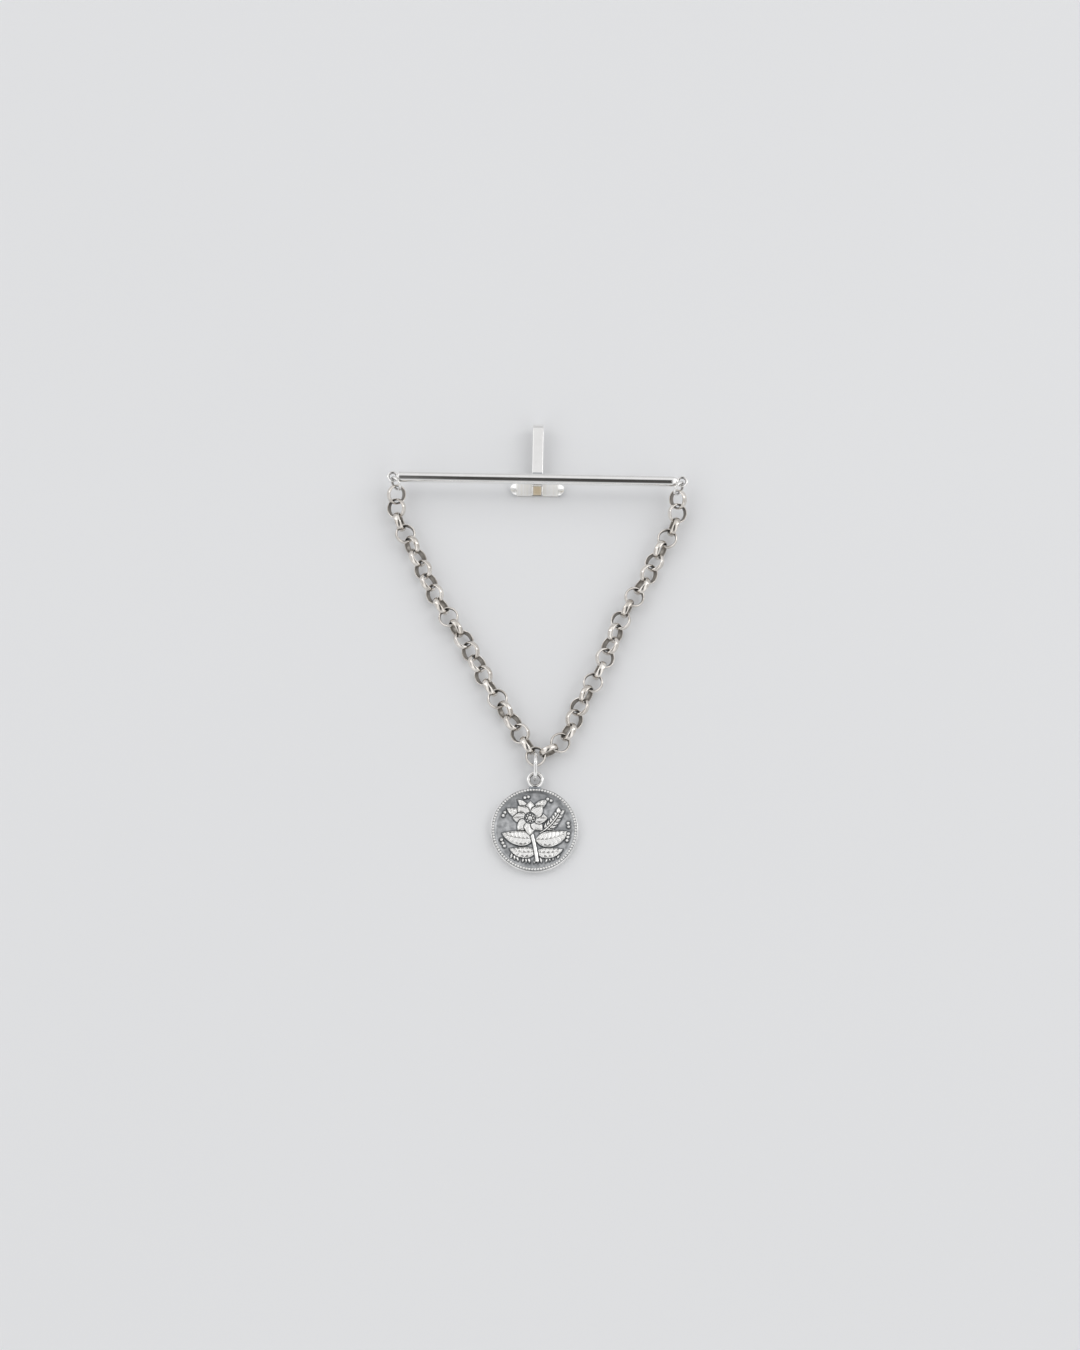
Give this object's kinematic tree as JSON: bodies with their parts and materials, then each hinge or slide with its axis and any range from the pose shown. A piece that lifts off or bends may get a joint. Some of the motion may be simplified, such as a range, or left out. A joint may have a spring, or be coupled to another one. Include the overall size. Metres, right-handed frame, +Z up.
{
  "type": "tie bar with chain swag and pendant",
  "caption": "Round metal tie bar with a bent strip clip and grip plate behind it, and a chain swag hung from its ends carrying a round medallion with a beaded rim.",
  "frame": {"origin": "on the grip plate's flat back face, which lies on the table, straight below the middle of the bar", "axes": "+X along the bar, +Y from the pendant towards the bend of the clip, +Z up off the table, out of the front of the bar"},
  "size_m": [0.0556, 0.0858, 0.0055],
  "materials": {
    "polished_silver": "polished",
    "chain_silver": "gloss",
    "medallion_silver": "satin"
  },
  "bodies": {
    "frame": {"bar": "polished_silver", "clip_strip": "polished_silver", "grip_plate": "polished_silver", "left_eyelet": "polished_silver", "right_eyelet": "polished_silver"},
    "left_jump_ring": {"left_jump_ring": "polished_silver"},
    "right_jump_ring": {"right_jump_ring": "polished_silver"},
    "left_link_01": {"left_link_01": "chain_silver"},
    "left_link_02": {"left_link_02": "chain_silver"},
    "left_link_03": {"left_link_03": "chain_silver"},
    "left_link_04": {"left_link_04": "chain_silver"},
    "left_link_05": {"left_link_05": "chain_silver"},
    "left_link_06": {"left_link_06": "chain_silver"},
    "left_link_07": {"left_link_07": "chain_silver"},
    "left_link_08": {"left_link_08": "chain_silver"},
    "left_link_09": {"left_link_09": "chain_silver"},
    "left_link_10": {"left_link_10": "chain_silver"},
    "left_link_11": {"left_link_11": "chain_silver"},
    "left_link_12": {"left_link_12": "chain_silver"},
    "left_link_13": {"left_link_13": "chain_silver"},
    "left_link_14": {"left_link_14": "chain_silver"},
    "left_link_15": {"left_link_15": "chain_silver"},
    "left_link_16": {"left_link_16": "chain_silver"},
    "left_link_17": {"left_link_17": "chain_silver"},
    "left_link_18": {"left_link_18": "chain_silver"},
    "left_link_19": {"left_link_19": "chain_silver"},
    "left_link_20": {"left_link_20": "chain_silver"},
    "left_link_21": {"left_link_21": "chain_silver"},
    "left_link_22": {"left_link_22": "chain_silver"},
    "right_link_01": {"right_link_01": "chain_silver"},
    "right_link_02": {"right_link_02": "chain_silver"},
    "right_link_03": {"right_link_03": "chain_silver"},
    "right_link_04": {"right_link_04": "chain_silver"},
    "right_link_05": {"right_link_05": "chain_silver"},
    "right_link_06": {"right_link_06": "chain_silver"},
    "right_link_07": {"right_link_07": "chain_silver"},
    "right_link_08": {"right_link_08": "chain_silver"},
    "right_link_09": {"right_link_09": "chain_silver"},
    "right_link_10": {"right_link_10": "chain_silver"},
    "right_link_11": {"right_link_11": "chain_silver"},
    "right_link_12": {"right_link_12": "chain_silver"},
    "right_link_13": {"right_link_13": "chain_silver"},
    "right_link_14": {"right_link_14": "chain_silver"},
    "right_link_15": {"right_link_15": "chain_silver"},
    "right_link_16": {"right_link_16": "chain_silver"},
    "right_link_17": {"right_link_17": "chain_silver"},
    "right_link_18": {"right_link_18": "chain_silver"},
    "right_link_19": {"right_link_19": "chain_silver"},
    "right_link_20": {"right_link_20": "chain_silver"},
    "right_link_21": {"right_link_21": "chain_silver"},
    "right_link_22": {"right_link_22": "chain_silver"},
    "centre_link": {"centre_link": "chain_silver"},
    "pendant_jump_ring": {"pendant_jump_ring": "polished_silver"},
    "pendant": {"medallion_bail": "polished_silver", "medallion": "medallion_silver"}
  },
  "joints": [
    {"name": "left_jump_ring_swing", "type": "hinge", "parent": "frame", "child": "left_jump_ring", "pos_m": [-0.02638, -0.00075, 0.00445], "axis": [1, 0, 0], "range_deg": [-25, 50]},
    {"name": "right_jump_ring_swing", "type": "hinge", "parent": "frame", "child": "right_jump_ring", "pos_m": [0.02638, -0.00075, 0.00445], "axis": [1, 0, 0], "range_deg": [-25, 50]},
    {"name": "centre_link_roll", "type": "hinge", "parent": "left_jump_ring", "child": "centre_link", "pos_m": [0.00057, -0.05274, 0.00189], "axis": [1, 0, 0], "range_deg": [-4, 4]},
    {"name": "pendant_ring_swing", "type": "hinge", "parent": "centre_link", "child": "pendant_jump_ring", "pos_m": [0.00057, -0.05441, 0.00189], "axis": [1, 0, 0], "range_deg": [-35, 60]},
    {"name": "medallion_swing", "type": "hinge", "parent": "pendant_jump_ring", "child": "pendant", "pos_m": [0.00057, -0.05565, 0.00127], "axis": [1, 0, 0], "range_deg": [-30, 75]},
    {"name": "left_link_01_roll", "type": "hinge", "parent": "left_jump_ring", "child": "left_link_01", "pos_m": [-0.02598, -0.0031, 0.0033], "axis": [-0.0963, -0.9503, -0.2962], "range_deg": [-6, 0]},
    {"name": "left_link_02_roll", "type": "hinge", "parent": "left_jump_ring", "child": "left_link_02", "pos_m": [-0.02593, -0.00558, 0.0026], "axis": [0.1385, -0.9591, -0.2468], "range_deg": [0, 2]},
    {"name": "left_link_03_roll", "type": "hinge", "parent": "left_jump_ring", "child": "left_link_03", "pos_m": [-0.02531, -0.00802, 0.00208], "axis": [0.3417, -0.9281, -0.1481], "range_deg": [-2, 4]},
    {"name": "left_link_04_roll", "type": "hinge", "parent": "left_jump_ring", "child": "left_link_04", "pos_m": [-0.02417, -0.01032, 0.00189], "axis": [0.5331, -0.8461, 0], "range_deg": [-5, 6]},
    {"name": "left_link_05_roll", "type": "hinge", "parent": "left_jump_ring", "child": "left_link_05", "pos_m": [-0.02288, -0.01256, 0.00189], "axis": [0.4651, -0.8853, 0], "range_deg": [-6, 6]},
    {"name": "left_link_06_roll", "type": "hinge", "parent": "left_jump_ring", "child": "left_link_06", "pos_m": [-0.02177, -0.0149, 0.00189], "axis": [0.3942, -0.919, 0], "range_deg": [-6, 6]},
    {"name": "left_link_07_roll", "type": "hinge", "parent": "left_jump_ring", "child": "left_link_07", "pos_m": [-0.02073, -0.01727, 0.00189], "axis": [0.4102, -0.912, 0], "range_deg": [-6, 6]},
    {"name": "left_link_08_roll", "type": "hinge", "parent": "left_jump_ring", "child": "left_link_08", "pos_m": [-0.01964, -0.01962, 0.00189], "axis": [0.426, -0.9047, 0], "range_deg": [-6, 6]},
    {"name": "left_link_09_roll", "type": "hinge", "parent": "left_jump_ring", "child": "left_link_09", "pos_m": [-0.01848, -0.02193, 0.00189], "axis": [0.4706, -0.8824, 0], "range_deg": [-6, 6]},
    {"name": "left_link_10_roll", "type": "hinge", "parent": "left_jump_ring", "child": "left_link_10", "pos_m": [-0.01721, -0.02419, 0.00189], "axis": [0.514, -0.8578, 0], "range_deg": [-6, 6]},
    {"name": "left_link_11_roll", "type": "hinge", "parent": "left_jump_ring", "child": "left_link_11", "pos_m": [-0.01582, -0.02637, 0.00189], "axis": [0.5561, -0.8311, 0], "range_deg": [-6, 6]},
    {"name": "left_link_12_roll", "type": "hinge", "parent": "left_jump_ring", "child": "left_link_12", "pos_m": [-0.01438, -0.02852, 0.00189], "axis": [0.5602, -0.8283, 0], "range_deg": [-6, 6]},
    {"name": "left_link_13_roll", "type": "hinge", "parent": "left_jump_ring", "child": "left_link_13", "pos_m": [-0.01297, -0.0307, 0.00189], "axis": [0.5267, -0.85, 0], "range_deg": [-6, 6]},
    {"name": "left_link_14_roll", "type": "hinge", "parent": "left_jump_ring", "child": "left_link_14", "pos_m": [-0.01165, -0.03292, 0.00189], "axis": [0.4924, -0.8704, 0], "range_deg": [-6, 6]},
    {"name": "left_link_15_roll", "type": "hinge", "parent": "left_jump_ring", "child": "left_link_15", "pos_m": [-0.01042, -0.0352, 0.00189], "axis": [0.4573, -0.8893, 0], "range_deg": [-6, 6]},
    {"name": "left_link_16_roll", "type": "hinge", "parent": "left_jump_ring", "child": "left_link_16", "pos_m": [-0.0092, -0.03749, 0.00189], "axis": [0.4843, -0.8749, 0], "range_deg": [-6, 6]},
    {"name": "left_link_17_roll", "type": "hinge", "parent": "left_jump_ring", "child": "left_link_17", "pos_m": [-0.00791, -0.03973, 0.00189], "axis": [0.5108, -0.8597, 0], "range_deg": [-6, 5]},
    {"name": "left_link_18_roll", "type": "hinge", "parent": "left_jump_ring", "child": "left_link_18", "pos_m": [-0.00655, -0.04194, 0.00189], "axis": [0.5368, -0.8437, 0], "range_deg": [-5, 5]},
    {"name": "left_link_19_roll", "type": "hinge", "parent": "left_jump_ring", "child": "left_link_19", "pos_m": [-0.00513, -0.0441, 0.00189], "axis": [0.5623, -0.8269, 0], "range_deg": [-5, 6]},
    {"name": "left_link_20_roll", "type": "hinge", "parent": "left_jump_ring", "child": "left_link_20", "pos_m": [-0.00369, -0.04626, 0.00189], "axis": [0.5478, -0.8366, 0], "range_deg": [-6, 6]},
    {"name": "left_link_21_roll", "type": "hinge", "parent": "left_jump_ring", "child": "left_link_21", "pos_m": [-0.00229, -0.04844, 0.00189], "axis": [0.5331, -0.8461, 0], "range_deg": [-6, 6]},
    {"name": "left_link_22_roll", "type": "hinge", "parent": "left_jump_ring", "child": "left_link_22", "pos_m": [-0.00093, -0.05064, 0.00189], "axis": [0.5182, -0.8552, 0], "range_deg": [-6, 5]},
    {"name": "right_link_01_roll", "type": "hinge", "parent": "right_jump_ring", "child": "right_link_01", "pos_m": [0.02599, -0.00311, 0.0033], "axis": [0.1048, -0.9499, -0.2946], "range_deg": [-2, 6]},
    {"name": "right_link_02_roll", "type": "hinge", "parent": "right_jump_ring", "child": "right_link_02", "pos_m": [0.02594, -0.00559, 0.0026], "axis": [-0.1467, -0.9582, -0.2455], "range_deg": [-4, 2]},
    {"name": "right_link_03_roll", "type": "hinge", "parent": "right_jump_ring", "child": "right_link_03", "pos_m": [0.02529, -0.00805, 0.00208], "axis": [-0.3497, -0.9252, -0.1473], "range_deg": [-6, 4]},
    {"name": "right_link_04_roll", "type": "hinge", "parent": "right_jump_ring", "child": "right_link_04", "pos_m": [0.02413, -0.01035, 0.00189], "axis": [-0.5403, -0.8415, 0], "range_deg": [-6, 6]},
    {"name": "right_link_05_roll", "type": "hinge", "parent": "right_jump_ring", "child": "right_link_05", "pos_m": [0.02285, -0.0126, 0.00189], "axis": [-0.4494, -0.8933, 0], "range_deg": [-6, 6]},
    {"name": "right_link_06_roll", "type": "hinge", "parent": "right_jump_ring", "child": "right_link_06", "pos_m": [0.0218, -0.01499, 0.00189], "axis": [-0.3535, -0.9354, 0], "range_deg": [-6, 6]},
    {"name": "right_link_07_roll", "type": "hinge", "parent": "right_jump_ring", "child": "right_link_07", "pos_m": [0.02077, -0.01737, 0.00189], "axis": [-0.4369, -0.8995, 0], "range_deg": [-6, 6]},
    {"name": "right_link_08_roll", "type": "hinge", "parent": "right_jump_ring", "child": "right_link_08", "pos_m": [0.01953, -0.01966, 0.00189], "axis": [-0.5166, -0.8562, 0], "range_deg": [-6, 6]},
    {"name": "right_link_09_roll", "type": "hinge", "parent": "right_jump_ring", "child": "right_link_09", "pos_m": [0.01817, -0.02188, 0.00189], "axis": [-0.5274, -0.8496, 0], "range_deg": [-6, 6]},
    {"name": "right_link_10_roll", "type": "hinge", "parent": "right_jump_ring", "child": "right_link_10", "pos_m": [0.01687, -0.02414, 0.00189], "axis": [-0.4707, -0.8823, 0], "range_deg": [-6, 6]},
    {"name": "right_link_11_roll", "type": "hinge", "parent": "right_jump_ring", "child": "right_link_11", "pos_m": [0.01572, -0.02647, 0.00189], "axis": [-0.412, -0.9112, 0], "range_deg": [-6, 6]},
    {"name": "right_link_12_roll", "type": "hinge", "parent": "right_jump_ring", "child": "right_link_12", "pos_m": [0.01473, -0.02888, 0.00189], "axis": [-0.3515, -0.9362, 0], "range_deg": [-6, 6]},
    {"name": "right_link_13_roll", "type": "hinge", "parent": "right_jump_ring", "child": "right_link_13", "pos_m": [0.01383, -0.03132, 0.00189], "axis": [-0.339, -0.9408, 0], "range_deg": [-6, 6]},
    {"name": "right_link_14_roll", "type": "hinge", "parent": "right_jump_ring", "child": "right_link_14", "pos_m": [0.0129, -0.03375, 0.00189], "axis": [-0.3752, -0.9269, 0], "range_deg": [-6, 6]},
    {"name": "right_link_15_roll", "type": "hinge", "parent": "right_jump_ring", "child": "right_link_15", "pos_m": [0.01188, -0.03615, 0.00189], "axis": [-0.4109, -0.9117, 0], "range_deg": [-6, 6]},
    {"name": "right_link_16_roll", "type": "hinge", "parent": "right_jump_ring", "child": "right_link_16", "pos_m": [0.01076, -0.0385, 0.00189], "axis": [-0.4459, -0.8951, 0], "range_deg": [-6, 6]},
    {"name": "right_link_17_roll", "type": "hinge", "parent": "right_jump_ring", "child": "right_link_17", "pos_m": [0.00955, -0.04081, 0.00189], "axis": [-0.4803, -0.8771, 0], "range_deg": [-6, 6]},
    {"name": "right_link_18_roll", "type": "hinge", "parent": "right_jump_ring", "child": "right_link_18", "pos_m": [0.0084, -0.04314, 0.00189], "axis": [-0.4052, -0.9142, 0], "range_deg": [-6, 6]},
    {"name": "right_link_19_roll", "type": "hinge", "parent": "right_jump_ring", "child": "right_link_19", "pos_m": [0.00745, -0.04556, 0.00189], "axis": [-0.3273, -0.9449, 0], "range_deg": [-6, 6]},
    {"name": "right_link_20_roll", "type": "hinge", "parent": "right_jump_ring", "child": "right_link_20", "pos_m": [0.00645, -0.04796, 0.00189], "axis": [-0.4369, -0.8995, 0], "range_deg": [-2, 6]},
    {"name": "right_link_21_roll", "type": "hinge", "parent": "right_jump_ring", "child": "right_link_21", "pos_m": [0.00497, -0.05006, 0.00189], "axis": [-0.6985, -0.7157, 0], "range_deg": [-4, 2]},
    {"name": "right_link_22_roll", "type": "hinge", "parent": "right_jump_ring", "child": "right_link_22", "pos_m": [0.00291, -0.05159, 0.00189], "axis": [-0.8886, -0.4586, 0], "range_deg": [-6, 3]}
  ],
  "couplings": [
    {"joint": "right_jump_ring_swing", "follows": "left_jump_ring_swing", "ratio": 1}
  ]
}
